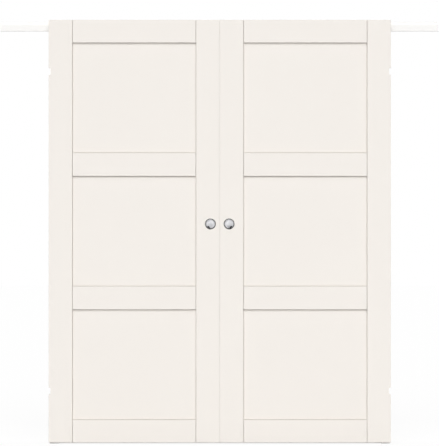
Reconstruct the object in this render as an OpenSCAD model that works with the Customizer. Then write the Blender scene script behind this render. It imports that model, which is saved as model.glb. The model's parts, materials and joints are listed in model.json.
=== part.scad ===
// Double sliding door: two framed leaves with three flat panels each, flush pulls on both faces,
// and a concealed top track with wheeled hangers behind them, carried by a plain timber door frame.
// X runs along the door, the front is towards -Y, and the floor is at z = 0.

/* [Leaves] */
// Width of one leaf
leaf_w = 826; // [726:2:926]
// Height of one leaf
leaf_h = 2040; // [1900:5:2300]
// Thickness of one leaf
leaf_t = 40; // [38:1:46]
// Gap between the two closed leaves
meeting_gap = 0.2; // [0.1:0.1:3]
// Gap between the leaves and the floor
floor_gap = 6; // [6:0.5:12]
// Width of the stiles
stile_w = 114; // [100:1:140]
// Height of the top rail
top_rail_h = 110; // [96:1:150]
// Height of the two cross rails
cross_rail_h = 112; // [70:1:150]
// Height of the bottom rail
bottom_rail_h = 110; // [80:1:220]
// Eased arris of the stiles, rails and frame
arris = 1; // [0.5:0.1:3]
// Width of the bevel of the two edges that meet, on each face
meeting_bevel_w = 0.5; // [0.4:0.1:2]
// Depth of this bevel along the edge
meeting_bevel_d = 3; // [1:0.1:8]
// Width of the open joint between a rail and a stile, and of the quirk round a panel
joint_gap = 2; // [0.6:0.1:2.5]

/* [Panels] */
// Thickness of the flat panels
panel_t = 18; // [10:0.5:22]
// Depth of the grooves that hold the panels and the tongues of the rails
groove_d = 12; // [8:0.5:18]
// Play of a panel or tongue in the width of its groove
groove_play = 0.2; // [0.1:0.05:0.4]
// Room left at the bottom of a groove
groove_room = 0.8; // [0.4:0.1:2]
// Depth of the quirk round a panel, as a share of the panel's thickness
quirk_share = 0.28; // [0.1:0.01:0.4]

/* [Edge notches] */
// Height of a notch in the outer edge of a leaf
notch_h = 33; // [20:1:60]
// Depth of a notch
notch_d = 9; // [6:0.5:20]
// Radius of the inner corners of a notch
notch_r = 4; // [1:0.5:5]
// Distance of a notch's middle from the nearer end of the leaf
notch_inset = 248; // [180:1:400]

/* [Flush pulls] */
// Diameter over the rim of a pull
pull_d = 53; // [50:0.5:65]
// Height of the rim over the face of the leaf
pull_rim_h = 1.4; // [0.8:0.1:2]
// Outer diameter of the cup
pull_cup_d = 45; // [40:0.5:48]
// Wall of the cup
pull_wall = 1.5; // [1:0.1:2.5]
// Depth of the dish below the face of the leaf
pull_depth = 11; // [8:0.5:14]
// Radius between the wall and the floor of the dish
pull_fillet = 5; // [2:0.5:7]
// Distance of a pull's centre from the meeting edge
pull_backset = 45; // [38:1:60]
// Height of a pull's centre over the lower edge of the leaf
pull_height = 1055; // [900:1:1200]
// Play of the cup in its bore
pull_play = 0.1; // [0.05:0.05:0.3]
// Radius of the finger catch in the floor of the dish
catch_r = 10; // [8:0.5:12]
// Distance of the catch's centre from the pull's centre
catch_offset = 24; // [23:0.5:26]
// Turn of the catch from straight down towards the outer edge of the leaf, in degrees
catch_turn = 30; // [30:1:60]
// Depth of the catch below the floor of the dish
catch_depth = 6; // [3:0.5:6]
// Ledge left between the catch and the wall of the cup
catch_ledge = 0.5; // [0.3:0.1:1]

/* [Track] */
// Depth of the track from back to front
track_w = 28; // [27:0.5:34]
// Height of the running channel
channel_h = 30; // [27:0.5:40]
// Height of the fixing flange over the channel
flange_h = 16; // [12:0.5:24]
// Wall of the track
track_wall = 2; // [1.5:0.1:2.4]
// Thickness of the lips that the wheels run on
lip_t = 3; // [2:0.1:4]
// Width of the slot between the lips
slot_w = 10; // [9:0.1:10.6]
// Distance of the track's top below the top of the leaves
track_drop = 5; // [2:0.5:12]
// Opening travel of each leaf
open_travel = 700; // [500:5:740]
// Length of track beyond an open leaf
track_over = 20; // [10:1:60]
// Diameter of the fixing holes in the flange
track_hole_d = 5.5; // [5.2:0.1:7]
// Distance of the last wall fixing hole from the end of the track
wall_hole_end = 146; // [60:1:200]
// Distance between the two wall fixing holes at each end
wall_hole_pitch = 300; // [150:5:340]
// Number of screws from the track into its board
track_screw_count = 6; // [2:1:10]
// Distance of the last of these screws from the end of the board
track_screw_end = 114; // [60:1:200]
// Shank diameter of these screws
track_screw_d = 5; // [4:0.1:5.2]
// Head diameter of these screws
track_screw_head_d = 9.5; // [8:0.1:11]
// Head height of these screws
track_screw_head_h = 3; // [2:0.1:4]
// Depth of these screws in the board
track_screw_grip = 18; // [12:0.5:20]

/* [Hangers] */
// Width of a hanger bracket
bracket_w = 60; // [54:1:80]
// Thickness of a hanger bracket
bracket_t = 3; // [2.5:0.1:4]
// Inner radius of the bracket's bend
bend_r = 2; // [1:0.5:4]
// Height of the screwed leg over the leg that holds the bolt
bracket_up = 44; // [38:1:48]
// Reach of the lower leg past the bolt
bracket_reach = 9; // [8:0.5:12]
// Gap between the front of the track and the brackets
track_clear = 1.5; // [1:0.1:3]
// Gap between the underside of the track and the brackets
leg_drop = 8; // [7:0.5:14]
// Distance between bracket screws along the leaf
bracket_hole_dx = 40; // [30:1:44]
// Distance between bracket screws up the leaf
bracket_hole_dz = 22; // [14:1:26]
// Shank diameter of the bracket screws
bracket_screw_d = 4.5; // [3.5:0.1:5]
// Head diameter of the bracket screws
bracket_screw_head_d = 8.4; // [7:0.1:9.4]
// Depth of the bracket screws in the leaf
bracket_screw_grip = 25; // [16:0.5:30]
// Diameter of the hanger bolts
bolt_d = 8; // [6:0.1:8.4]
// Width of the bolt heads and lock nuts across their flats
hex_flats = 13; // [11:0.1:15]
// Height of the bolt heads
bolt_head_h = 5.3; // [4:0.1:6.5]
// Height of the lock nuts
lock_nut_h = 5; // [4:0.1:6.5]
// Play round screws, bolts and pins in their holes
hole_play = 0.05; // [0.02:0.01:0.1]

/* [Carriages] */
// Length of a carriage
carriage_l = 76; // [70:1:88]
// Width of a carriage
carriage_w = 10; // [9:0.5:10.5]
// Height of a carriage
carriage_h = 15; // [12:0.5:16]
// Metal over the end of the bolt
bolt_cover = 3; // [2:0.5:5]
// Diameter of the wheels
wheel_d = 20; // [16:0.5:21]
// Width of a wheel's tread
wheel_w = 5; // [4:0.1:5.2]
// Eased edge of a wheel's tread
wheel_ease = 0.5; // [0.2:0.1:1]
// Diameter of a wheel's hub
hub_d = 7.4; // [7:0.1:9]
// Outer diameter of the recess in a wheel's face
recess_d = 16; // [12:0.5:17]
// Depth of the recess in a wheel's face
recess_deep = 1; // [0.4:0.1:1.6]
// Diameter of the axle pins
axle_d = 4; // [3:0.1:5]
// Diameter of the heads of the axle pins
axle_head_d = 6.4; // [5.6:0.1:7]
// Thickness of the heads of the axle pins
axle_head_t = 0.5; // [0.3:0.05:0.6]
// Distance between the two axles of a carriage
axle_pitch = 46; // [40:1:50]
// Gap between the wheels and the lips at rest
tread_gap = 0.3; // [0.1:0.05:0.4]
// Side play of a wheel between its carriage and the head of its pin
wheel_play = 0.15; // [0.1:0.05:0.2]

/* [Stops] */
// Length of an end stop
stop_l = 24; // [16:1:28]
// Height of the stops over the lips
stop_h = 20; // [16:0.5:21]
// Gap between the stops and the sides of the channel
stop_side = 0.3; // [0.1:0.1:0.6]
// Diameter of the rubber buffers
buffer_d = 10; // [7:0.5:14]
// Length of the rubber buffers
buffer_l = 6; // [4:0.5:8]
// Gap between a buffer and a carriage at the end of its travel
stop_gap = 0.4; // [0.3:0.1:1]

/* [Frame] */
// Thickness of the jambs
jamb_t = 30; // [22:1:40]
// Depth of the frame through the wall
frame_d = 100; // [70:1:160]
// Distance of the frame's outer faces inside the outer edges of the leaves
frame_inset = 12; // [6:1:20]
// Thickness of the head
head_t = 30; // [24:1:40]
// Depth of the housings in the head that take the jambs
housing_d = 10; // [5:0.5:15]
// Thickness of the board that carries the track
board_t = 22; // [21:0.5:40]
// Height of the board that carries the track
board_h = 54; // [48:1:70]

/* [Floor guides] */
// Length of a floor guide along the door
guide_l = 40; // [36:1:44]
// Thickness of a guide's base
guide_base_t = 4; // [3:0.5:5]
// Reach of a guide's base in front of its fin
guide_front = 10; // [6:0.5:18]
// Corner radius of a guide's base
guide_corner = 6; // [2:0.5:10]
// Thickness of a guide's fin
guide_fin_t = 5; // [4:0.5:7]
// Play of the fin on each side of its groove
guide_play = 0.6; // [0.3:0.1:1]
// Depth of the groove under the leaves
guide_groove_d = 14; // [11:0.5:20]
// Room over the fin in its groove
guide_room = 3; // [2:0.5:5]
// Diameter of the screw holes in a guide
guide_hole_d = 4.5; // [3.5:0.1:5.5]
// Distance between the screw holes in a guide
guide_hole_pitch = 22; // [16:1:26]

/* [Hidden] */
// Overrun of every cut past the face it opens
overrun = 1;
$fn = 48;

SIDES = ["left", "right"];
WHEELS = [1, 2, 3, 4];
FRAME_PIECES = ["jamb", "end_stop", "floor_guide"];
LEAF_PIECES = [
    "outer_stile", "meeting_stile", "top_rail", "upper_rail", "lower_rail", "bottom_rail",
    "top_panel", "middle_panel", "bottom_panel", "front_pull", "back_pull",
    "outer_bracket", "inner_bracket", "bracket_screws", "hanger_bolts", "lock_nuts",
    "outer_carriage", "inner_carriage", "axle_pins",
];

PAINT = [0.957, 0.937, 0.914];
FRAME_PAINT = [0.93, 0.91, 0.88];
TRACK_WHITE = [0.95, 0.95, 0.94];
SATIN = [0.78, 0.78, 0.77];
ZINC = [0.70, 0.71, 0.72];
NYLON = [0.86, 0.86, 0.84];
RUBBER = [0.12, 0.12, 0.12];
TIMBER = [0.84, 0.73, 0.56];

// Places through the door, from the front of the leaves to the back of the frame
wall_gap = track_w + track_clear + bracket_t;
wall_y = (wall_gap + leaf_t + pull_rim_h - frame_d) / 2;
leaf_back_y = wall_y - wall_gap;
leaf_front_y = leaf_back_y - leaf_t;
leaf_mid_y = leaf_back_y - leaf_t / 2;
track_mid_y = wall_y - track_w / 2;

// Places along the door, on the right-hand side
leaf_x0 = meeting_gap / 2;
leaf_x1 = leaf_x0 + leaf_w;
rail_x0 = leaf_x0 + stile_w;
rail_x1 = leaf_x1 - stile_w;
frame_x1 = leaf_x1 - frame_inset;
track_x1 = leaf_x1 + open_travel + track_over;
inner_hanger_x = leaf_x0 + stile_w / 2;
outer_hanger_x = leaf_x1 - stile_w / 2;

// Heights
leaf_z0 = floor_gap;
leaf_z1 = leaf_z0 + leaf_h;
panel_h = (leaf_h - top_rail_h - 2 * cross_rail_h - bottom_rail_h) / 3;
lower_rail_z = leaf_z0 + bottom_rail_h + panel_h;
upper_rail_z = lower_rail_z + cross_rail_h + panel_h;
top_rail_z = leaf_z1 - top_rail_h;
track_z1 = leaf_z1 - track_drop;
channel_z1 = track_z1 - flange_h;
channel_z0 = channel_z1 - channel_h;
lip_z = channel_z0 + lip_t;
head_z1 = track_z1 - board_h;
head_z0 = head_z1 - head_t;
pull_z = leaf_z0 + pull_height;

// Hanging gear
axle_z = lip_z + tread_gap + wheel_d / 2;
carriage_z0 = axle_z - carriage_h / 2;
leg_z1 = channel_z0 - leg_drop;
leg_z0 = leg_z1 - bracket_t;
lip_w = track_w / 2 - track_wall - slot_w / 2;
wheel_inner = slot_w / 2 + (lip_w - wheel_w) / 2;
wheel_outer = wheel_inner + wheel_w;
hub_inner = carriage_w / 2 + wheel_play;
stop_w = track_w - 2 * track_wall - 2 * stop_side;
stop_face = outer_hanger_x + carriage_l / 2 + open_travel + stop_gap + buffer_l;
centre_stop_x = inner_hanger_x - carriage_l / 2 - stop_gap - buffer_l;
flange_mid_z = channel_z1 + flange_h / 2;
wall_holes = [track_x1 - wall_hole_end, track_x1 - wall_hole_end - wall_hole_pitch];
screw_span = 2 * (frame_x1 - track_screw_end);
track_screw_xs = [
    for (i = [0 : track_screw_count - 1]) screw_span * (i / (track_screw_count - 1) - 1 / 2)
];

// Joinery
eased = [arris, arris];
meeting_bevel = [meeting_bevel_w, meeting_bevel_d];
groove_w = panel_t + groove_play;
tongue_l = groove_d - groove_room;
pull_mouth_r = pull_cup_d / 2 - pull_wall;
pull_cup_h = pull_depth + pull_wall;
catch_h = pull_cup_h + catch_depth;
quirk_d = panel_t * quirk_share;
pull_x = leaf_x0 + pull_backset;
guide_fin_z1 = leaf_z0 + guide_groove_d - guide_room;
guide_x = frame_x1 - jamb_t / 2;

// Helpers

// Draws its children on the named side: they are modelled on the right
module on_side(side) {
    mirror([side == "left" ? 1 : 0, 0, 0])
        children();
}

// Extrudes an outline drawn in Y and Z from x0 to x1
module along_x(x0, x1) {
    translate([x0, 0, 0])
        rotate([90, 0, 90])
            linear_extrude(x1 - x0)
                children();
}

// Extrudes an outline drawn in X and Z from y0 to y1
module along_y(y0, y1) {
    translate([0, y1, 0])
        rotate([90, 0, 0])
            linear_extrude(y1 - y0)
                children();
}

// A round bar along Y, from y0 to y1
module bar_y(x, z, y0, y1, d1, d2) {
    translate([x, y0, z])
        rotate([-90, 0, 0])
            cylinder(h = y1 - y0, d1 = d1, d2 = d2);
}

// A rectangle with bevelled corners: near at x = 0 and far on the other side, each as width and depth
module eased_square(w, t, near, far) {
    polygon([
        [near[0], 0], [w - far[0], 0], [w, far[1]], [w, t - far[1]],
        [w - far[0], t], [near[0], t], [0, t - near[1]], [0, near[1]],
    ]);
}

// A rectangle centred on X with its far corners rounded
module tongue_outline(w, l, r) {
    translate([-w / 2, 0])
        square([w, l - r]);
    translate([-(w / 2 - r), 0])
        square([w - 2 * r, l]);
    for (s = [-1, 1])
        translate([s * (w / 2 - r), l - r])
            circle(r);
}

// Leaf joinery

// A bar of leaf thickness with bevelled edges, from x0 to x1 and z0 to z1
module leaf_bar(x0, x1, z0, z1, near) {
    intersection() {
        translate([x0, leaf_front_y, z0])
            linear_extrude(z1 - z0)
                eased_square(x1 - x0, leaf_t, near, eased);
        along_x(x0, x1)
            translate([leaf_front_y, z0])
                eased_square(leaf_t, z1 - z0, eased, eased);
    }
}

// The groove under a leaf that the floor guide's fin runs in
module guide_groove() {
    groove_half = guide_fin_t / 2 + guide_play;
    translate([leaf_x0 - overrun, leaf_mid_y - groove_half, leaf_z0 - overrun])
        cube([leaf_w + 2 * overrun, 2 * groove_half, guide_groove_d + overrun]);
}

// The groove in the inner edge of a stile, from x0 to x1
module stile_groove(x0, x1) {
    translate([x0, leaf_mid_y - groove_w / 2, leaf_z0 - overrun])
        cube([x1 - x0, groove_w, leaf_h + 2 * overrun]);
}

// The holes in a stile for the screws of a bracket
module screw_holes(x) {
    for (place = bracket_screw_places(x))
        bar_y(
            place[0], place[1], leaf_back_y - bracket_screw_grip - hole_play, leaf_back_y + overrun,
            bracket_screw_d + 2 * hole_play, bracket_screw_d + 2 * hole_play
        );
}

// The notch in the outer edge, as an outline in X and Z
module notch(z) {
    translate([leaf_x1 + overrun, z])
        rotate(90)
            tongue_outline(notch_h, notch_d + overrun, notch_r);
}

module outer_stile(side) {
    color(PAINT)
        on_side(side)
            difference() {
                leaf_bar(rail_x1, leaf_x1, leaf_z0, leaf_z1, eased);
                stile_groove(rail_x1 - overrun, rail_x1 + groove_d);
                guide_groove();
                screw_holes(outer_hanger_x);
                along_y(leaf_front_y - overrun, leaf_back_y + overrun)
                    for (z = [leaf_z0 + notch_inset, leaf_z1 - notch_inset])
                        notch(z);
            }
}

module meeting_stile(side) {
    color(PAINT)
        on_side(side)
            difference() {
                leaf_bar(leaf_x0, rail_x0, leaf_z0, leaf_z1, meeting_bevel);
                stile_groove(rail_x0 - groove_d, rail_x0 + overrun);
                guide_groove();
                screw_holes(inner_hanger_x);
                at_front_pull()
                    pull_bore();
                at_back_pull()
                    pull_bore();
            }
}

// A rail from z0 to z1 with a tongue at each end and a groove in each edge that holds a panel
module rail(z0, z1, groove_below, groove_above) {
    groove_x0 = rail_x0 - tongue_l - overrun;
    groove_l = rail_x1 - rail_x0 + 2 * tongue_l + 2 * overrun;
    difference() {
        union() {
            leaf_bar(rail_x0 + joint_gap, rail_x1 - joint_gap, z0, z1, eased);
            translate([rail_x0 - tongue_l, leaf_mid_y - panel_t / 2, z0])
                cube([rail_x1 - rail_x0 + 2 * tongue_l, panel_t, z1 - z0]);
        }
        if (groove_below)
            translate([groove_x0, leaf_mid_y - groove_w / 2, z0 - overrun])
                cube([groove_l, groove_w, groove_d + overrun]);
        if (groove_above)
            translate([groove_x0, leaf_mid_y - groove_w / 2, z1 - groove_d])
                cube([groove_l, groove_w, groove_d + overrun]);
    }
}

module top_rail(side) {
    color(PAINT)
        on_side(side)
            rail(top_rail_z, leaf_z1, true, false);
}

module upper_rail(side) {
    color(PAINT)
        on_side(side)
            rail(upper_rail_z, upper_rail_z + cross_rail_h, true, true);
}

module lower_rail(side) {
    color(PAINT)
        on_side(side)
            rail(lower_rail_z, lower_rail_z + cross_rail_h, true, true);
}

module bottom_rail(side) {
    color(PAINT)
        on_side(side)
            difference() {
                rail(leaf_z0, leaf_z0 + bottom_rail_h, false, true);
                guide_groove();
            }
}

// The quirk round the visible part of a panel, as an outline in X and Z
module quirk_outline(z0) {
    sight_w = rail_x1 - rail_x0;
    difference() {
        translate([rail_x0, z0])
            square([sight_w, panel_h]);
        translate([rail_x0 + joint_gap, z0 + joint_gap])
            square([sight_w - 2 * joint_gap, panel_h - 2 * joint_gap]);
    }
}

// A flat panel whose lower visible edge is at z0
module panel(side, z0) {
    panel_front_y = leaf_mid_y - panel_t / 2;
    panel_back_y = leaf_mid_y + panel_t / 2;
    color(PAINT)
        on_side(side)
            difference() {
                translate([rail_x0 - tongue_l, panel_front_y, z0 - tongue_l])
                    cube([rail_x1 - rail_x0 + 2 * tongue_l, panel_t, panel_h + 2 * tongue_l]);
                along_y(panel_front_y - overrun, panel_front_y + quirk_d)
                    quirk_outline(z0);
                along_y(panel_back_y - quirk_d, panel_back_y + overrun)
                    quirk_outline(z0);
            }
}

// Flush pulls

// Half section of a pull: x is the radius, and y = 0 is the face of the leaf
module pull_section() {
    edge_x = pull_d / 2 - pull_rim_h;
    fillet_x = pull_mouth_r - pull_fillet;
    fillet_y = -pull_depth + pull_fillet;
    difference() {
        union() {
            square([edge_x, pull_rim_h]);
            intersection() {
                translate([edge_x, 0])
                    circle(pull_rim_h);
                translate([edge_x, 0])
                    square(pull_rim_h);
            }
            translate([0, -pull_cup_h])
                square([pull_cup_d / 2, pull_cup_h]);
        }
        translate([0, fillet_y])
            square([pull_mouth_r, pull_rim_h + overrun - fillet_y]);
        translate([0, -pull_depth])
            square([fillet_x, pull_depth]);
        translate([fillet_x, fillet_y])
            circle(pull_fillet);
    }
}

// Outline of a finger catch of radius r, inside a circle of radius cup_r round the pull's centre
module catch_outline(cup_r, r) {
    intersection() {
        circle(cup_r);
        translate([catch_offset * sin(catch_turn), -catch_offset * cos(catch_turn)])
            circle(r);
    }
}

// A pull on the face z = 0, with its catch towards +X and -Y
module flush_pull() {
    difference() {
        union() {
            rotate_extrude()
                pull_section();
            translate([0, 0, -catch_h])
                linear_extrude(catch_depth + pull_wall / 2)
                    catch_outline(pull_cup_d / 2 - catch_ledge, catch_r + pull_wall);
        }
        translate([0, 0, -pull_depth - catch_depth])
            linear_extrude(catch_depth + pull_fillet)
                catch_outline(pull_mouth_r - catch_ledge, catch_r);
    }
}

// The hole in a stile that takes a pull
module pull_bore() {
    translate([0, 0, -pull_cup_h - pull_play])
        cylinder(h = pull_cup_h + pull_play + overrun, r = pull_cup_d / 2 + pull_play);
    translate([0, 0, -catch_h - pull_play])
        linear_extrude(catch_h)
            catch_outline(pull_cup_d / 2 - catch_ledge + pull_play, catch_r + pull_wall + pull_play);
}

// Sets its children on the front of the leaf, where the pull is
module at_front_pull() {
    translate([pull_x, leaf_front_y, pull_z])
        rotate([90, 0, 0])
            children();
}

// Sets its children on the back of the leaf, turned round
module at_back_pull() {
    translate([pull_x, leaf_back_y, pull_z])
        rotate([90, 0, 180])
            children();
}

module front_pull(side) {
    color(SATIN)
        on_side(side)
            at_front_pull()
                flush_pull();
}

module back_pull(side) {
    color(SATIN)
        on_side(side)
            at_back_pull()
                flush_pull();
}

// Hangers

// Places of a bracket's screws in X and Z
function bracket_screw_places(x) = [
    for (sx = [-1, 1]) for (sz = [-1, 1])
        [x + sx * bracket_hole_dx / 2, leg_z1 + bracket_up / 2 + sz * bracket_hole_dz / 2]
];

// Outline of a bracket in Y and Z: the screwed leg, the bend and the leg that holds the bolt
module bracket_outline() {
    outer_r = bend_r + bracket_t;
    bend_y = leaf_back_y + outer_r;
    bend_z = leg_z0 + outer_r;
    leg_y1 = track_mid_y + bracket_reach;
    translate([leaf_back_y, bend_z])
        square([bracket_t, leg_z1 + bracket_up - bend_z]);
    translate([bend_y, leg_z0])
        square([leg_y1 - bend_y, bracket_t]);
    intersection() {
        difference() {
            translate([bend_y, bend_z])
                circle(outer_r);
            translate([bend_y, bend_z])
                circle(bend_r);
        }
        translate([leaf_back_y, leg_z0])
            square(outer_r);
    }
}

module bracket(side, x) {
    sink = (bracket_screw_head_d - bracket_screw_d) / 2;
    face_y = leaf_back_y + bracket_t;
    color(ZINC)
        on_side(side)
            difference() {
                along_x(x - bracket_w / 2, x + bracket_w / 2)
                    bracket_outline();
                for (place = bracket_screw_places(x)) {
                    bar_y(
                        place[0], place[1], leaf_back_y - overrun, face_y + overrun,
                        bracket_screw_d + 2 * hole_play, bracket_screw_d + 2 * hole_play
                    );
                    bar_y(
                        place[0], place[1], face_y - sink - hole_play, face_y,
                        bracket_screw_d, bracket_screw_head_d + 2 * hole_play
                    );
                }
                translate([x, track_mid_y, leg_z0 - overrun])
                    cylinder(h = bracket_t + 2 * overrun, d = bolt_d + 2 * hole_play);
            }
}

// Countersunk screws of both brackets of a leaf
module bracket_screws(side) {
    sink = (bracket_screw_head_d - bracket_screw_d) / 2;
    face_y = leaf_back_y + bracket_t;
    color(ZINC)
        on_side(side)
            for (x = [inner_hanger_x, outer_hanger_x])
                for (place = bracket_screw_places(x)) {
                    bar_y(
                        place[0], place[1], leaf_back_y - bracket_screw_grip, face_y - sink,
                        bracket_screw_d, bracket_screw_d
                    );
                    bar_y(
                        place[0], place[1], face_y - sink, face_y,
                        bracket_screw_d, bracket_screw_head_d
                    );
                }
}

// A hexagon prism standing on z0
module hexagon(z0, h) {
    translate([0, 0, z0])
        cylinder(h = h, d = hex_flats / cos(30), $fn = 6);
}

module hanger_bolts(side) {
    color(ZINC)
        on_side(side)
            for (x = [inner_hanger_x, outer_hanger_x])
                translate([x, track_mid_y, 0]) {
                    hexagon(leg_z0 - bolt_head_h, bolt_head_h);
                    translate([0, 0, leg_z0])
                        cylinder(h = carriage_z0 + carriage_h - bolt_cover - leg_z0, d = bolt_d);
                }
}

module lock_nuts(side) {
    color(ZINC)
        on_side(side)
            for (x = [inner_hanger_x, outer_hanger_x])
                translate([x, track_mid_y, 0])
                    difference() {
                        hexagon(leg_z1, lock_nut_h);
                        translate([0, 0, leg_z1 - overrun])
                            cylinder(h = lock_nut_h + 2 * overrun, d = bolt_d + 2 * hole_play);
                    }
}

// Carriages and wheels

// Places of the axles along a leaf, from the meeting edge outwards
axle_xs = [
    for (x = [inner_hanger_x, outer_hanger_x]) for (s = [-1, 1]) x + s * axle_pitch / 2
];

module carriage(side, x) {
    bore_d = bolt_d + 2 * hole_play;
    color(ZINC)
        on_side(side)
            difference() {
                translate([x - carriage_l / 2, track_mid_y - carriage_w / 2, carriage_z0])
                    linear_extrude(carriage_h)
                        eased_square(carriage_l, carriage_w, eased, eased);
                translate([x, track_mid_y, carriage_z0 - overrun])
                    cylinder(h = carriage_h - bolt_cover + hole_play + overrun, d = bore_d);
                for (s = [-1, 1])
                    bar_y(
                        x + s * axle_pitch / 2, axle_z,
                        track_mid_y - carriage_w / 2 - overrun, track_mid_y + carriage_w / 2 + overrun,
                        axle_d + 2 * hole_play, axle_d + 2 * hole_play
                    );
            }
}

// Headed pins through the carriages of a leaf
module axle_pins(side) {
    pin_end = wheel_outer + wheel_play;
    color(SATIN)
        on_side(side)
            for (x = axle_xs) {
                bar_y(x, axle_z, track_mid_y - pin_end, track_mid_y + pin_end, axle_d, axle_d);
                for (y = [track_mid_y - pin_end - axle_head_t, track_mid_y + pin_end])
                    bar_y(x, axle_z, y, y + axle_head_t, axle_head_d, axle_head_d);
            }
}

// Half section of a wheel: x is the radius, and y runs outwards from the middle of the track
module wheel_section() {
    r = wheel_d / 2;
    bore_r = axle_d / 2 + hole_play;
    difference() {
        union() {
            translate([bore_r, hub_inner])
                square([hub_d / 2 - bore_r, wheel_outer - hub_inner]);
            polygon([
                [bore_r, wheel_inner], [r - wheel_ease, wheel_inner], [r, wheel_inner + wheel_ease],
                [r, wheel_outer - wheel_ease], [r - wheel_ease, wheel_outer], [bore_r, wheel_outer],
            ]);
        }
        for (y = [wheel_inner - recess_deep, wheel_outer - recess_deep])
            translate([hub_d / 2, y])
                square([(recess_d - hub_d) / 2, 2 * recess_deep]);
    }
}

// The pair of wheels on one axle
module wheel_pair(side, x) {
    color(NYLON)
        on_side(side)
            for (turn = [-90, 90])
                translate([x, track_mid_y, axle_z])
                    rotate([turn, 0, 0])
                        rotate_extrude()
                            wheel_section();
}

// Track and stops

// Outline of the track in Y and Z
module track_outline() {
    front_y = wall_y - track_w;
    lip_reach = (track_w - slot_w) / 2;
    translate([wall_y - track_wall, channel_z0])
        square([track_wall, channel_h + flange_h]);
    translate([front_y, channel_z0])
        square([track_wall, channel_h]);
    translate([front_y, channel_z1 - track_wall])
        square([track_w, track_wall]);
    for (y = [front_y, wall_y - lip_reach])
        translate([y, channel_z0])
            square([lip_reach, lip_t]);
}

module track() {
    hole_xs = concat(track_screw_xs, wall_holes, -wall_holes);
    color(TRACK_WHITE)
        difference() {
            along_x(-track_x1, track_x1)
                track_outline();
            for (x = hole_xs)
                bar_y(
                    x, flange_mid_z, wall_y - track_wall - overrun, wall_y + overrun,
                    track_hole_d, track_hole_d
                );
        }
}

module track_screws() {
    face_y = wall_y - track_wall;
    color(ZINC)
        for (x = track_screw_xs) {
            bar_y(
                x, flange_mid_z, face_y - track_screw_head_h, face_y,
                track_screw_head_d, track_screw_head_d
            );
            bar_y(x, flange_mid_z, face_y, wall_y + track_screw_grip, track_screw_d, track_screw_d);
        }
}

// A block on the lips, from x0 to x1
module stop_block(x0, x1) {
    along_x(x0, x1)
        translate([track_mid_y - stop_w / 2, lip_z])
            eased_square(stop_w, stop_h, eased, eased);
}

module centre_stop() {
    color(ZINC)
        stop_block(-centre_stop_x, centre_stop_x);
}

module end_stop(side) {
    color(ZINC)
        on_side(side)
            stop_block(stop_face, stop_face + stop_l);
}

module stop_buffers() {
    color(RUBBER)
        for (side = SIDES)
            on_side(side)
                for (x = [centre_stop_x, stop_face - buffer_l])
                    translate([x, track_mid_y, axle_z])
                        rotate([0, 90, 0])
                            cylinder(h = buffer_l, d = buffer_d);
}

// Frame

module jamb(side) {
    color(FRAME_PAINT)
        on_side(side)
            translate([frame_x1 - jamb_t, wall_y, 0])
                linear_extrude(head_z0 + housing_d)
                    eased_square(jamb_t, frame_d, eased, eased);
}

module frame_head() {
    color(FRAME_PAINT)
        difference() {
            along_x(-frame_x1, frame_x1)
                translate([wall_y, head_z0])
                    eased_square(frame_d, head_t, eased, eased);
            for (side = SIDES)
                on_side(side)
                    translate([frame_x1 - jamb_t, wall_y - overrun, head_z0 - overrun])
                        cube([jamb_t + overrun, frame_d + 2 * overrun, housing_d + overrun]);
        }
}

module track_board() {
    color(TIMBER)
        difference() {
            translate([-frame_x1, wall_y, head_z1])
                cube([2 * frame_x1, board_t, board_h]);
            for (x = track_screw_xs)
                bar_y(
                    x, flange_mid_z, wall_y - overrun, wall_y + track_screw_grip + hole_play,
                    track_screw_d + 2 * hole_play, track_screw_d + 2 * hole_play
                );
        }
}

// Floor guides

module floor_guide(side) {
    base_l = wall_y - leaf_mid_y + guide_front;
    fin_half = guide_l / 2 - guide_fin_t / 2;
    color(NYLON)
        on_side(side)
            translate([guide_x, 0, 0]) {
                difference() {
                    translate([0, wall_y, 0])
                        rotate(180)
                            linear_extrude(guide_base_t)
                                tongue_outline(guide_l, base_l, guide_corner);
                    for (s = [-1, 1])
                        translate([s * guide_hole_pitch / 2, wall_y - wall_gap / 2, -overrun])
                            cylinder(h = guide_base_t + 2 * overrun, d = guide_hole_d);
                }
                translate([0, leaf_mid_y, guide_base_t])
                    linear_extrude(guide_fin_z1 - guide_base_t) {
                        translate([-fin_half, -guide_fin_t / 2])
                            square([2 * fin_half, guide_fin_t]);
                        for (s = [-1, 1])
                            translate([s * fin_half, 0])
                                circle(d = guide_fin_t);
                    }
            }
}

frame_head();
track_board();
track();
track_screws();
centre_stop();
stop_buffers();
for (side = SIDES) {
    jamb(side);
    end_stop(side);
    floor_guide(side);
    outer_stile(side);
    meeting_stile(side);
    top_rail(side);
    upper_rail(side);
    lower_rail(side);
    bottom_rail(side);
    panel(side, upper_rail_z + cross_rail_h);
    panel(side, lower_rail_z + cross_rail_h);
    panel(side, leaf_z0 + bottom_rail_h);
    front_pull(side);
    back_pull(side);
    bracket(side, outer_hanger_x);
    bracket(side, inner_hanger_x);
    bracket_screws(side);
    hanger_bolts(side);
    lock_nuts(side);
    carriage(side, outer_hanger_x);
    carriage(side, inner_hanger_x);
    axle_pins(side);
    for (wheel = WHEELS)
        wheel_pair(side, axle_xs[wheel - 1]);
}
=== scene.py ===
import json
import math

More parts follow.
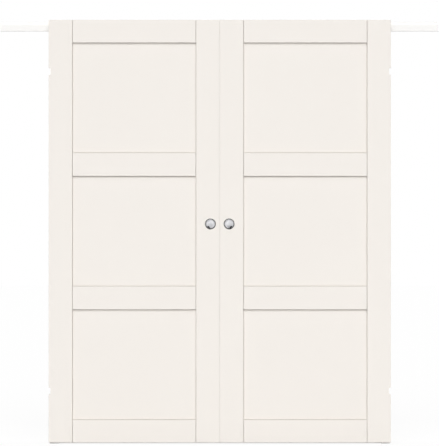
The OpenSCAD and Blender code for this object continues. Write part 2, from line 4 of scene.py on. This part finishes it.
import bpy
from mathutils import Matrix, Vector


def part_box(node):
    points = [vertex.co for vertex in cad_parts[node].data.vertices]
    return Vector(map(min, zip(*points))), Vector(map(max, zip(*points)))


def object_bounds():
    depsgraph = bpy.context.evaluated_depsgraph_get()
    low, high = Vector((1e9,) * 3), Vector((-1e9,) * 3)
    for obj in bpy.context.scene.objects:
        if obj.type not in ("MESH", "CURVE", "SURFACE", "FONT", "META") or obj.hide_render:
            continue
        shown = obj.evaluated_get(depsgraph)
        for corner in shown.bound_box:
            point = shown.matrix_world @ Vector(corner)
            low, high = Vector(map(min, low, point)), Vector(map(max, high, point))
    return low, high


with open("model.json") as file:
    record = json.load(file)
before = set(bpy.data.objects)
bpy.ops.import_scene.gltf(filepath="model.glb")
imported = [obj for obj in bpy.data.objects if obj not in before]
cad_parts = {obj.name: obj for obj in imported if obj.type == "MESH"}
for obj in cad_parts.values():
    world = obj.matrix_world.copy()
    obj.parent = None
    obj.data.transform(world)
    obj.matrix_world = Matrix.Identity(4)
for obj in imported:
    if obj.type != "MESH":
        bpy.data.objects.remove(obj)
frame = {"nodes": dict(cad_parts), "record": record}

CAD_BOX = [[float(v) for v in corner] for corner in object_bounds()]

# The view, in pixels of the photograph, with the lens and its sensor in millimetres
PHOTO_WIDTH_PX = 439
PHOTO_HEIGHT_PX = 446
PAIR_MIDDLE_PX = 219.75
LEAF_TOP_PX = 19.8
LEAF_FOOT_PX = 442.5
LENS_MM = 200.0
SENSOR_MM = 36.0

# Sky in front of the door and behind it, where 1 lights a white surface to white
SKY_FRONT = 0.16
SKY_BACK = 0.95
# The keys: strength, breadth in the sky, height over the horizon and turn to the side
KEY_STRENGTH = 1.19
KEY_ANGLE = math.radians(48)
KEY_HEIGHT = math.radians(37)
KEY_SIDE = math.radians(16)

# The floor: half its width in metres, the colour that is seen, the colour that lights the door
# and is seen as painted shade close behind the leaves, and the share of it that is plain white
FLOOR_HALF = 30.0
FLOOR_TINT = (0.95, 0.95, 0.95, 1.0)
FLOOR_BOUNCE = (0.70, 0.70, 0.70, 1.0)
FLOOR_GLOW = 0.85
# How far the floor feels the door over it, in metres, how soon it then shows its whole shadow
# with painted shade, and the rays that look for the door
CONTACT_REACH = 0.2
CONTACT_GAIN = 3.0
CONTACT_SAMPLES = 16

# Radius where a pull's rim, with its painted dark reflection, starts, and distance from the leaf's
# middle where its catch, painted black as shade, starts, in metres
PULL_RIM = 0.0213
PULL_CATCH = 0.0086
# Middle of the painted shade darkening a pull's dish, outwards and up from its centre, and its
# reach
DISH_SHADE_OUT = 0.003
DISH_SHADE_UP = -0.020
DISH_SHADE_REACH = 0.043
# The same for a crescent of painted shade on the rim below the catch
CRESCENT_SHADE_OUT = 0.006
CRESCENT_SHADE_UP = -0.0215
CRESCENT_SHADE_REACH = 0.011

# Colours as they show on screen, from 0 to 255; a timber band has its place in the grain first
STEEL_LIGHT = (244, 244, 246)
STEEL_DARK = (226, 226, 228)
# Painted shade on the dish, a painted dark reflection on the rim, painted shade on its crescent and
# in the catch
STEEL_SHADED = (126, 126, 129)
RIM_PAINTED_REFLECTION = (122, 122, 121)
RIM_PAINTED_SHADE = (40, 40, 40)
CATCH_PAINTED_SHADE = (34, 34, 34)
TIMBER_BANDS = ((0.30, (226, 196, 150)), (0.52, (212, 176, 124)), (0.72, (188, 146, 94)))
TIMBER_PORE = (170, 128, 80)

# The curve between a colour as it shows on screen and its light
SCREEN_WHITE = 255
SCREEN_KNEE = 0.04045
SCREEN_SLOPE = 12.92
SCREEN_OFFSET = 0.055
SCREEN_POWER = 2.4

# Colour sockets of a Mix node
MIX_FIRST = 6
MIX_SECOND = 7
MIX_RESULT = 2

WHITE = (1.0, 1.0, 1.0, 1.0)


class Wire:
    """One socket of a node tree, on which arithmetic adds Math nodes."""

    def __init__(self, shop, socket):
        self.shop = shop
        self.socket = socket

    def math(self, operation, first, second):
        """One Math node."""
        return self.shop.node("ShaderNodeMath", {"operation": operation}, {0: first, 1: second})

    def __add__(self, other):
        return self.math("ADD", self, other)

    def __radd__(self, other):
        return self.math("ADD", other, self)

    def __sub__(self, other):
        return self.math("SUBTRACT", self, other)

    def __rsub__(self, other):
        return self.math("SUBTRACT", other, self)

    def __mul__(self, other):
        return self.math("MULTIPLY", self, other)

    def __rmul__(self, other):
        return self.math("MULTIPLY", other, self)

    def __truediv__(self, other):
        return self.math("DIVIDE", self, other)

    def __rtruediv__(self, other):
        return self.math("DIVIDE", other, self)

    def __pow__(self, other):
        return self.math("POWER", self, other)

    def __rpow__(self, other):
        return self.math("POWER", other, self)

    def __gt__(self, other):
        return self.math("GREATER_THAN", self, other)

    def __lt__(self, other):
        return self.math("LESS_THAN", self, other)

    def __abs__(self):
        return self.math("ABSOLUTE", self, 0.0)

    def most(self, other):
        """The larger of two values."""
        return self.math("MAXIMUM", self, other)

    def clamped(self):
        """The value held between 0 and 1."""
        return self.shop.node("ShaderNodeClamp", None, {"Value": self})


class Shop:
    """Builds one node tree."""

    def __init__(self, tree):
        self.tree = tree
        tree.nodes.clear()

    def node(self, kind, settings=None, inputs=None, out=0):
        """Adds a node with its settings, feeds its sockets and returns one of its outputs."""
        made = self.tree.nodes.new(kind)
        for key, value in (settings or {}).items():
            if key == "stops":
                self.set_stops(made.color_ramp, value)
            else:
                setattr(made, key, value)
        for key, value in (inputs or {}).items():
            if isinstance(value, Wire):
                self.tree.links.new(value.socket, made.inputs[key])
            else:
                made.inputs[key].default_value = value
        return Wire(self, made.outputs[out]) if len(made.outputs) else None

    @staticmethod
    def set_stops(ramp, stops):
        """Gives a ramp its stops as (place, colour) pairs."""
        while len(ramp.elements) < len(stops):
            ramp.elements.new(1.0)
        for element, (place, tint) in zip(ramp.elements, stops):
            element.position = place
            element.color = tint

    def place(self):
        """Object coordinates, in metres."""
        return self.node("ShaderNodeTexCoord", out="Object")

    def mapped(self, scale, location=(0.0, 0.0, 0.0)):
        """Object coordinates scaled and moved."""
        moved = {"Vector": self.place(), "Location": location, "Scale": scale}
        return self.node("ShaderNodeMapping", {"vector_type": "POINT"}, moved)

    def parts(self, vector, axes):
        """The named parts of a vector."""
        return [self.node("ShaderNodeSeparateXYZ", None, {"Vector": vector}, axis) for axis in axes]

    def noise(self, vector, scale, detail=2.0, roughness=0.5):
        """Noise from 0 to 1."""
        fed = {"Vector": vector, "Scale": scale, "Detail": detail, "Roughness": roughness}
        return self.node("ShaderNodeTexNoise", {"noise_dimensions": "3D"}, fed, "Fac")

    def blend(self, amount, first, second):
        """Mixes two colours."""
        fed = {"Factor": amount, MIX_FIRST: first, MIX_SECOND: second}
        return self.node("ShaderNodeMix", {"data_type": "RGBA"}, fed, MIX_RESULT)

    def bump(self, height, depth, strength):
        """A surface raised by depth metres where height is 1."""
        fed = {"Height": height, "Distance": depth, "Strength": strength}
        return self.node("ShaderNodeBump", None, fed)


def linear(share):
    """The light of a share of white as it shows on screen."""
    if share <= SCREEN_KNEE:
        return share / SCREEN_SLOPE
    return ((share + SCREEN_OFFSET) / (1 + SCREEN_OFFSET)) ** SCREEN_POWER


def colour(on_screen):
    """A colour given as it shows on screen, from 0 to 255, in linear light."""
    return tuple(linear(c / SCREEN_WHITE) for c in on_screen) + (1.0,)


def finish(name, build):
    """A material whose surface is a principled shader fed by build(shop)."""
    material = bpy.data.materials.new(name)
    material.use_nodes = True
    shop = Shop(material.node_tree)
    shader = shop.node("ShaderNodeBsdfPrincipled", None, build(shop))
    shop.node("ShaderNodeOutputMaterial", None, {"Surface": shader})
    return material


def painted_wood(name, tint, shade):
    """Satin paint rolled on smooth timber: faint clouds, roller stipple and soft lap marks."""

    def build(shop):
        place = shop.place()
        cloud = shop.noise(place, scale=2.4, detail=3.0)
        stipple = shop.noise(place, scale=620.0, roughness=0.6)
        laps = shop.noise(shop.mapped(scale=(46.0, 46.0, 3.0)), scale=1.0)
        return {
            "Base Color": shop.blend(cloud, colour(tint), colour(shade)),
            "Roughness": 0.34 + cloud * 0.08 + stipple * 0.05,
            "Specular IOR Level": 0.4,
            "Normal": shop.bump(stipple * 0.6 + laps * 0.4, depth=0.00009, strength=0.55),
        }

    return finish(name, build)


def planed_softwood(name):
    """Bare planed timber with its grain along the door."""

    def build(shop):
        along = shop.mapped(scale=(1.1, 26.0, 26.0))
        grain = shop.noise(along, scale=3.0, detail=4.0, roughness=0.62)
        pores = shop.noise(shop.mapped(scale=(14.0, 900.0, 900.0)), scale=1.0)
        stops = [(place, colour(tint)) for place, tint in TIMBER_BANDS]
        bands = shop.node("ShaderNodeValToRGB", {"stops": stops}, {"Fac": grain})
        return {
            "Base Color": shop.blend(pores * 0.35, bands, colour(TIMBER_PORE)),
            "Roughness": 0.62 + pores * 0.12,
            "Normal": shop.bump(grain * 0.5 + pores * 0.5, depth=0.00012, strength=0.5),
        }

    return finish(name, build)


def powder_coat(name, tint, shade):
    """White powder coat with its fine orange peel."""

    def build(shop):
        peel = shop.noise(shop.place(), scale=420.0, roughness=0.55)
        cloud = shop.noise(shop.place(), scale=5.0)
        return {
            "Base Color": shop.blend(cloud * 0.5, colour(tint), colour(shade)),
            "Roughness": 0.40 + peel * 0.08,
            "Normal": shop.bump(peel, depth=0.00006, strength=0.5),
        }

    return finish(name, build)


def satin_pull(name, centre, outward):
    """Turned satin steel with fine rings and a polished rim, darkened by painted shade and
    reflection.
    """

    def build(shop):
        placed = shop.mapped(scale=(1.0, 1.0, 1.0), location=tuple(-centre))
        across, depth, up = shop.parts(placed, "XYZ")
        radius = (across ** 2 + up ** 2) ** 0.5
        rim = radius > PULL_RIM
        catch = abs(depth) < PULL_CATCH
        # 1 on the front pull and -1 on the back pull, which is the same part turned round
        facing = 1 - (depth > 0.0) * 2
        out = across * facing * outward

        def fading(middle_out, middle_up, reach):
            """1 at a place on the pull, falling to 0 at its reach."""
            return 1 - ((out - middle_out) ** 2 + (up - middle_up) ** 2) ** 0.5 / reach

        lathe = {"W": radius, "Scale": 5200.0, "Detail": 2.0}
        rings = shop.node("ShaderNodeTexNoise", {"noise_dimensions": "1D"}, lathe, "Fac")
        smear = shop.noise(shop.place(), scale=90.0, detail=3.0)
        # Painted shade: the dish darker towards its bottom, broken by the random smear
        dish_shade = fading(DISH_SHADE_OUT, DISH_SHADE_UP, DISH_SHADE_REACH) * (0.5 + smear)
        # Painted shade: a dark crescent on the rim below the catch
        crescent_shade = fading(CRESCENT_SHADE_OUT, CRESCENT_SHADE_UP, CRESCENT_SHADE_REACH)
        satin = shop.blend(smear * 0.6, colour(STEEL_LIGHT), colour(STEEL_DARK))
        dish = shop.blend(dish_shade.clamped(), satin, colour(STEEL_SHADED))
        # The rim's dark grey is a painted reflection, with a crescent of painted shade on it
        edge = shop.blend(crescent_shade.clamped(), colour(RIM_PAINTED_REFLECTION), colour(RIM_PAINTED_SHADE))
        # The catch is painted near black as shade
        return {
            "Base Color": shop.blend(catch, shop.blend(rim, dish, edge), colour(CATCH_PAINTED_SHADE)),
            "Metallic": 1.0,
            "Roughness": (0.44 + rings * 0.10 + smear * 0.06) * (1 - rim * 0.6),
            "Normal": shop.bump(rings, depth=0.00002, strength=0.35),
        }

    return finish(name, build)


def zinc_plate(name, tint, shade, cast):
    """Plated or cast zinc: mottled, with a grainy skin where it is cast."""

    def build(shop):
        mottle = shop.noise(shop.place(), scale=70.0, detail=4.0, roughness=0.6)
        skin = shop.noise(shop.place(), scale=900.0, roughness=0.6)
        return {
            "Base Color": shop.blend(mottle, colour(tint), colour(shade)),
            "Metallic": 1.0,
            "Roughness": 0.28 + mottle * 0.14 + skin * 0.08 * cast,
            "Normal": shop.bump(skin, depth=0.00004 + 0.00008 * cast, strength=0.5),
        }

    return finish(name, build)


def moulded(name, tint, shade, roughness, depth, milky):
    """Moulded nylon or rubber with a fine matte skin; milky is the share of light let through."""

    def build(shop):
        skin = shop.noise(shop.place(), scale=700.0, detail=3.0, roughness=0.6)
        cloud = shop.noise(shop.place(), scale=40.0)
        return {
            "Base Color": shop.blend(cloud, colour(tint), colour(shade)),
            "Roughness": roughness + skin * 0.12,
            "Transmission Weight": milky,
            "Normal": shop.bump(skin, depth=depth, strength=0.5),
        }

    return finish(name, build)


# The finish of each material slot; a pull's finish is centred on the pull, so dress() makes it
FINISHES = {
    "leaf_paint": (painted_wood, {"tint": (243, 238, 232), "shade": (241, 236, 230)}),
    "frame_paint": (painted_wood, {"tint": (240, 235, 228), "shade": (238, 233, 225)}),
    "board_timber": (planed_softwood, {}),
    "track_white": (powder_coat, {"tint": (250, 249, 247), "shade": (246, 245, 242)}),
    "zinc_steel": (zinc_plate, {"tint": (196, 199, 202), "shade": (172, 175, 178), "cast": 0.0}),
    "cast_carriage": (zinc_plate, {"tint": (168, 170, 172), "shade": (140, 142, 145), "cast": 1.0}),
    "axle_steel": (zinc_plate, {"tint": (188, 189, 190), "shade": (170, 171, 172), "cast": 0.0}),
    "wheel_nylon": (moulded, {
        "tint": (222, 221, 216), "shade": (208, 207, 201),
        "roughness": 0.42, "depth": 0.00003, "milky": 0.0,
    }),
    "guide_nylon": (moulded, {
        "tint": (244, 243, 240), "shade": (236, 235, 231),
        "roughness": 0.30, "depth": 0.00003, "milky": 0.75,
    }),
    "buffer_rubber": (moulded, {
        "tint": (44, 44, 45), "shade": (32, 32, 33),
        "roughness": 0.72, "depth": 0.00006, "milky": 0.0,
    }),
}


def dress(frame):
    """Gives every solid of the frame its finish, by the record's material slot."""
    finishes = {slot: make(slot, **look) for slot, (make, look) in FINISHES.items()}
    for side, outward in (("left", -1.0), ("right", 1.0)):
        front, back = (
            [Vector(c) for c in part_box(f"{side}_{face}_pull")] for face in ("front", "back")
        )
        centre = (front[0] + back[1]) / 2
        finishes[side] = satin_pull(f"{side}_pull_satin", centre, outward)
    for part in frame["record"]["subparts"]:
        node, slot = part["node"], part["material_slot"]
        material = finishes[node.split("_")[0] if slot == "pull_satin" else slot]
        for holder in frame["nodes"][node].material_slots:
            holder.material = material


def seen(shop):
    """1 for rays that see the studio directly, in a mirror or through glass."""
    direct, mirrored, through = (
        shop.node("ShaderNodeLightPath", out=f"Is {ray} Ray")
        for ray in ("Camera", "Glossy", "Transmission")
    )
    return direct.most(mirrored).most(through)


def white_studio():
    """A white surround that lights the back of the door well and its front a little."""
    world = bpy.data.worlds.new("white_studio")
    bpy.context.scene.world = world
    world.use_nodes = True
    shop = Shop(world.node_tree)
    direction = shop.node("ShaderNodeTexCoord", out="Generated")
    (depth,) = shop.parts(direction, "Y")
    sky = SKY_FRONT + (depth > 0.0) * (SKY_BACK - SKY_FRONT)
    strength = sky + seen(shop) * (1 - sky)
    light = shop.node("ShaderNodeBackground", None, {"Color": WHITE, "Strength": strength})
    shop.node("ShaderNodeOutputWorld", None, {"Surface": light})


def pale_floor():
    """A white floor that keeps some of the door's shadow, and all of it close behind the leaves,
    with painted shade.
    """
    leaf_end, leaf_back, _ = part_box("right_outer_stile")[1]
    door_back = CAD_BOX[1][1]
    bpy.ops.mesh.primitive_plane_add(size=2 * FLOOR_HALF)
    floor = bpy.context.object
    floor.name = "floor"
    material = bpy.data.materials.new("pale_floor")
    material.use_nodes = True
    shop = Shop(material.node_tree)
    across, depth = shop.parts(shop.place(), "XY")
    behind = (abs(across) < leaf_end) * (depth > leaf_back) * (depth < door_back)
    probe = {"samples": CONTACT_SAMPLES}
    free = shop.node("ShaderNodeAmbientOcclusion", probe, {"Distance": CONTACT_REACH}, "AO")
    # Painted shade: close behind the leaves the floor takes its darker bounce colour and loses its
    # glow
    contact_shade = behind * ((1 - free) * CONTACT_GAIN).clamped()
    white = seen(shop) * (1 - contact_shade)
    tint = shop.blend(white, FLOOR_BOUNCE, FLOOR_TINT)
    matte = shop.node("ShaderNodeBsdfDiffuse", None, {"Color": tint})
    glow = shop.node("ShaderNodeEmission", None, {"Color": WHITE, "Strength": 1.0})
    mixed = shop.node("ShaderNodeMixShader", None, {0: white * FLOOR_GLOW, 1: matte, 2: glow})
    shop.node("ShaderNodeOutputMaterial", None, {"Surface": mixed})
    floor.data.materials.append(material)


def lamps():
    """Two equal keys from above, on both sides of the camera."""
    for name, side in (("left_key", -1), ("right_key", 1)):
        sun = bpy.data.lights.new(name, "SUN")
        sun.energy = KEY_STRENGTH
        sun.angle = KEY_ANGLE
        lamp = bpy.data.objects.new(name, sun)
        lamp.rotation_euler = (math.radians(90) - KEY_HEIGHT, 0.0, side * KEY_SIDE)
        bpy.context.collection.objects.link(lamp)


def photo_camera():
    """Looks straight at the leaves, framed as in the photograph."""
    low, high = (Vector(c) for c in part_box("left_outer_stile"))
    metres_per_px = (high.z - low.z) / (LEAF_FOOT_PX - LEAF_TOP_PX)
    view_height = metres_per_px * PHOTO_HEIGHT_PX
    aim_x = (PHOTO_WIDTH_PX / 2 - PAIR_MIDDLE_PX) * metres_per_px
    aim_z = high.z - (PHOTO_HEIGHT_PX / 2 - LEAF_TOP_PX) * metres_per_px
    lens = bpy.data.cameras.new("camera")
    lens.lens = LENS_MM
    lens.sensor_width = SENSOR_MM
    lens.clip_end = 2 * FLOOR_HALF
    camera = bpy.data.objects.new("camera", lens)
    camera.location = (aim_x, low.y - view_height * LENS_MM / SENSOR_MM, aim_z)
    camera.rotation_euler = (math.radians(90), 0.0, 0.0)
    bpy.context.collection.objects.link(camera)
    bpy.context.scene.camera = camera


bpy.context.scene.view_settings.view_transform = "Standard"
dress(frame)
white_studio()
pale_floor()
lamps()
photo_camera()
